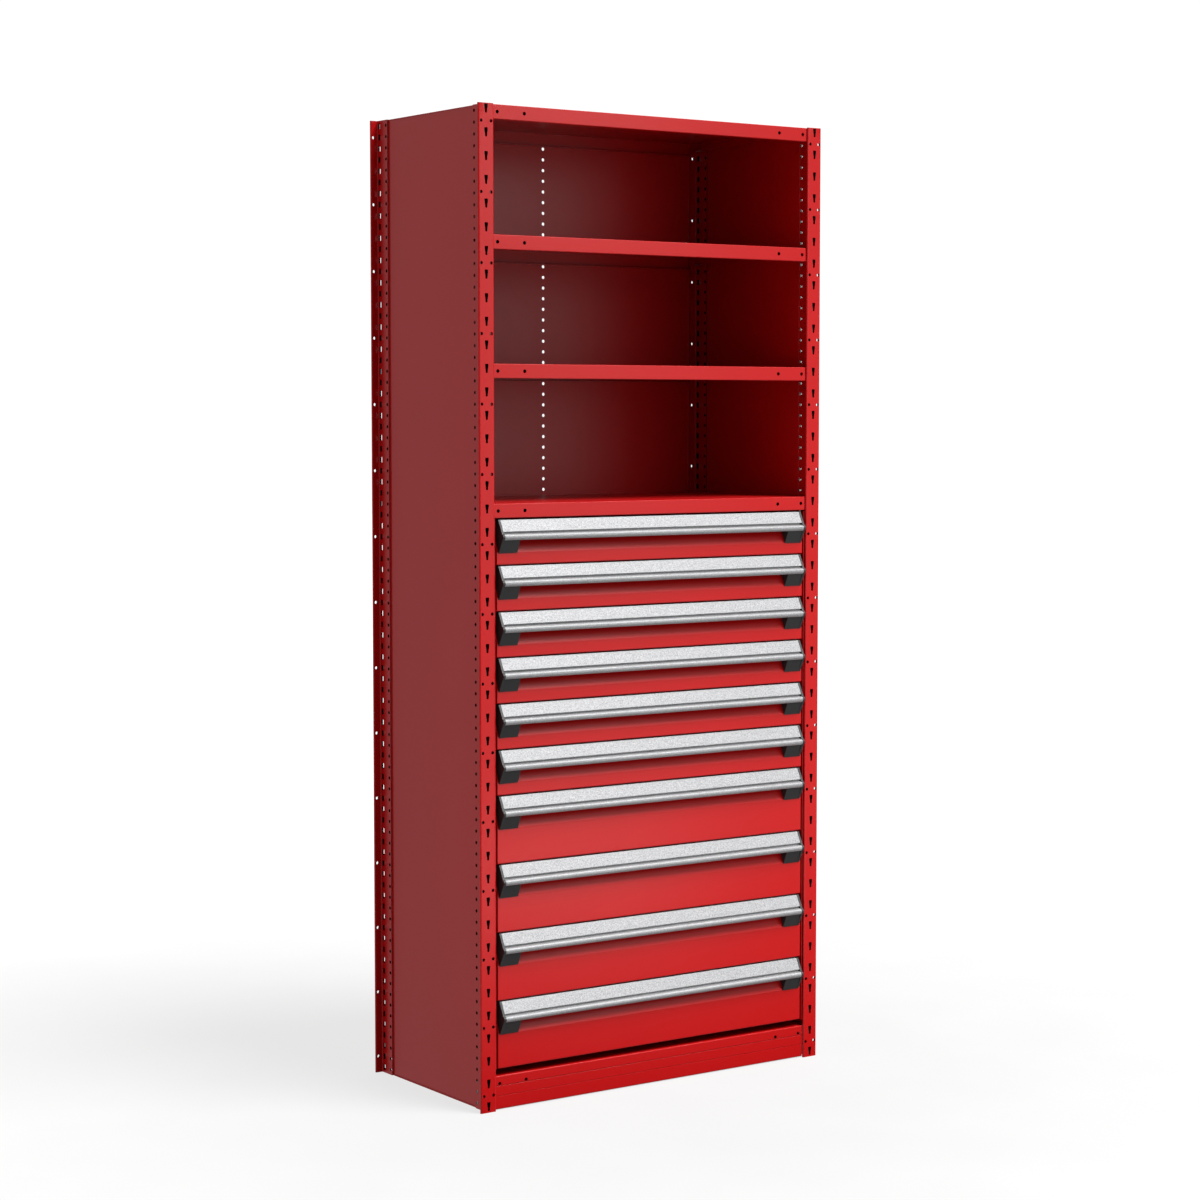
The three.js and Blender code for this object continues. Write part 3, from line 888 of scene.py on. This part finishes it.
def make_floor():
    reach = FLOOR["reach"]
    mesh = bpy.data.meshes.new("floor")
    corners = [(-reach, -reach, 0), (reach, -reach, 0), (reach, reach, 0), (-reach, reach, 0)]
    mesh.from_pydata(corners, [], [(0, 1, 2, 3)])
    floor = bpy.data.objects.new("floor", mesh)
    bpy.context.scene.collection.objects.link(floor)
    nodes = Nodes("floor_white", {"Roughness": 0.9, "Specular IOR Level": 0.1})
    cloud = nodes.spread(nodes.noise(3), 0, 1)
    nodes.colour(nodes.blend(cloud, (0.095, 0.095, 0.095), (0.105, 0.105, 0.105)))
    nodes.shader.inputs["Emission Color"].default_value = (1, 1, 1, 1)
    distance = nodes.add("ShaderNodeVectorMath", operation="LENGTH")
    nodes.link(nodes.place, distance.inputs[0])
    glow = nodes.spread(distance.outputs["Value"], *FLOOR["glow"], *FLOOR["glow_distance"])
    nodes.link(glow, nodes.shader.inputs["Emission Strength"])
    mesh.materials.append(nodes.material)
    floor.visible_diffuse = False
    floor.visible_glossy = False


def make_world():
    """A white backdrop behind everything, and soft light on the object that is dim in front."""
    world = bpy.data.worlds.new("studio")
    bpy.context.scene.world = world
    world.use_nodes = True
    tree = world.node_tree
    soft = tree.nodes["Background"]
    direction = tree.nodes.new("ShaderNodeTexCoord")
    facing = tree.nodes.new("ShaderNodeVectorMath")
    facing.operation = "DOT_PRODUCT"
    facing.inputs[1].default_value = Vector(ROOM["dim_side"]).normalized()
    strength = tree.nodes.new("ShaderNodeMapRange")
    strength.interpolation_type = "SMOOTHSTEP"
    strength.inputs["From Min"].default_value = ROOM["dim_from"]
    strength.inputs["From Max"].default_value = ROOM["dim_to"]
    strength.inputs["To Min"].default_value = ROOM["around"]
    strength.inputs["To Max"].default_value = ROOM["in_front"]
    tree.links.new(direction.outputs["Generated"], facing.inputs[0])
    tree.links.new(facing.outputs["Value"], strength.inputs["Value"])
    tree.links.new(strength.outputs["Result"], soft.inputs["Strength"])
    white = tree.nodes.new("ShaderNodeBackground")
    white.inputs["Strength"].default_value = ROOM["backdrop"]
    seen = tree.nodes.new("ShaderNodeLightPath")
    choose = tree.nodes.new("ShaderNodeMixShader")
    tree.links.new(seen.outputs["Is Camera Ray"], choose.inputs["Fac"])
    tree.links.new(soft.outputs["Background"], choose.inputs[1])
    tree.links.new(white.outputs["Background"], choose.inputs[2])
    tree.links.new(choose.outputs["Shader"], tree.nodes["World Output"].inputs["Surface"])
    for node in (soft, white):
        node.inputs["Color"].default_value = (1, 1, 1, 1)


def make_sun():
    data = bpy.data.lights.new("sun", "SUN")
    data.energy = SUN["strength"]
    data.angle = math.radians(SUN["width"])
    light = bpy.data.objects.new("sun", data)
    light.rotation_euler = (math.radians(90 - SUN["height"]), 0, math.radians(SUN["right"]))
    bpy.context.scene.collection.objects.link(light)


def area_light(name, width, length, radiance, location, tilt):
    data = bpy.data.lights.new(name, "AREA")
    data.shape = "RECTANGLE"
    data.size, data.size_y = width, length
    data.energy = radiance * math.pi * width * length
    light = bpy.data.objects.new(name, data)
    light.location = location
    light.rotation_euler = (math.radians(tilt), 0, 0)
    light.visible_camera = False
    bpy.context.scene.collection.objects.link(light)
    return light


def make_panels():
    """Upright light panels in front, on the right; the paint and the handles mirror them."""
    for number, panel in enumerate(PANELS):
        (x0, x1), (z0, z1) = panel["x"], panel["z"]
        place = ((x0 + x1) / 2, FRONT_Y - PANEL_DISTANCE, (z0 + z1) / 2)
        area_light(f"panel_{number}", x1 - x0, z1 - z0, panel["radiance"], place, 90)


def make_bounce():
    """Light that the floor in front throws up under the handles."""
    (x0, x1), (y0, y1) = BOUNCE["x"], BOUNCE["ahead"]
    place = ((x0 + x1) / 2, FRONT_Y - (y0 + y1) / 2, BOUNCE["height"])
    light = area_light("bounce", x1 - x0, y1 - y0, BOUNCE["radiance"], place, 180)
    light.visible_glossy = False


def make_camera():
    camera_data = bpy.data.cameras.new("camera")
    camera_data.lens = CAMERA["lens"]
    camera = bpy.data.objects.new("camera", camera_data)
    camera.location = (CAMERA["x"], FRONT_Y - CAMERA["ahead"], CAMERA["z"])
    camera.rotation_euler = (math.radians(90 - CAMERA["down"]), 0, math.radians(-CAMERA["right"]))
    bpy.context.scene.collection.objects.link(camera)
    bpy.context.scene.camera = camera


make_camera()
make_world()
make_sun()
make_panels()
make_bounce()
make_floor()
make_posts()
make_shade_strip()
make_side_panels()
make_back_panel()
make_shelves()
make_shelf_clips()
make_kick_plate()
make_housing()
make_slides()
for drawer in DRAWERS:
    make_drawer(drawer)
    make_handle(drawer)
    make_caps(drawer)
bpy.context.scene.view_settings.view_transform = "Standard"
